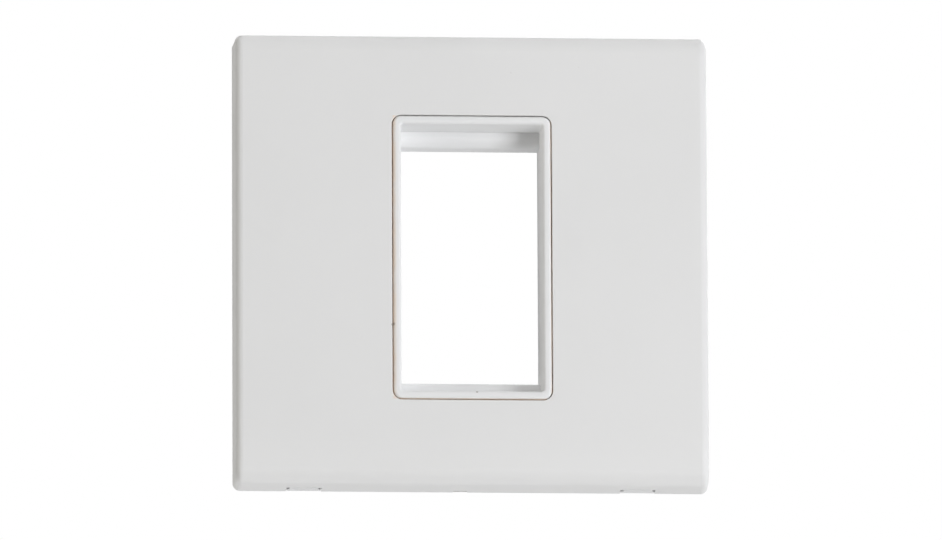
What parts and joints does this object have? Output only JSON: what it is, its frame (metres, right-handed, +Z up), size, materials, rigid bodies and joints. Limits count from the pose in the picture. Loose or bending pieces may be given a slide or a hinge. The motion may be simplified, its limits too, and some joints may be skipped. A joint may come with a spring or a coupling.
{
  "type": "keystone faceplate",
  "caption": "Screwless one-module wall faceplate: a clip-on white cover plate over a mounting frame with a collared module opening.",
  "frame": {"origin": "centre of the plate and of its two screw slots, on the plane of the wall", "axes": "+X to the right seen from the front, +Y back into the wall, +Z up"},
  "size_m": [0.09, 0.0127, 0.087],
  "materials": {
    "white_plastic": "satin moulded plastic"
  },
  "bodies": {
    "frame": {"mounting_frame": "white_plastic"},
    "cover": {"cover_plate": "white_plastic"}
  },
  "joints": [
    {"name": "cover_unclip", "type": "slide", "parent": "frame", "child": "cover", "axis": [0, -1, 0], "range_m": [0, 0.016]}
  ]
}
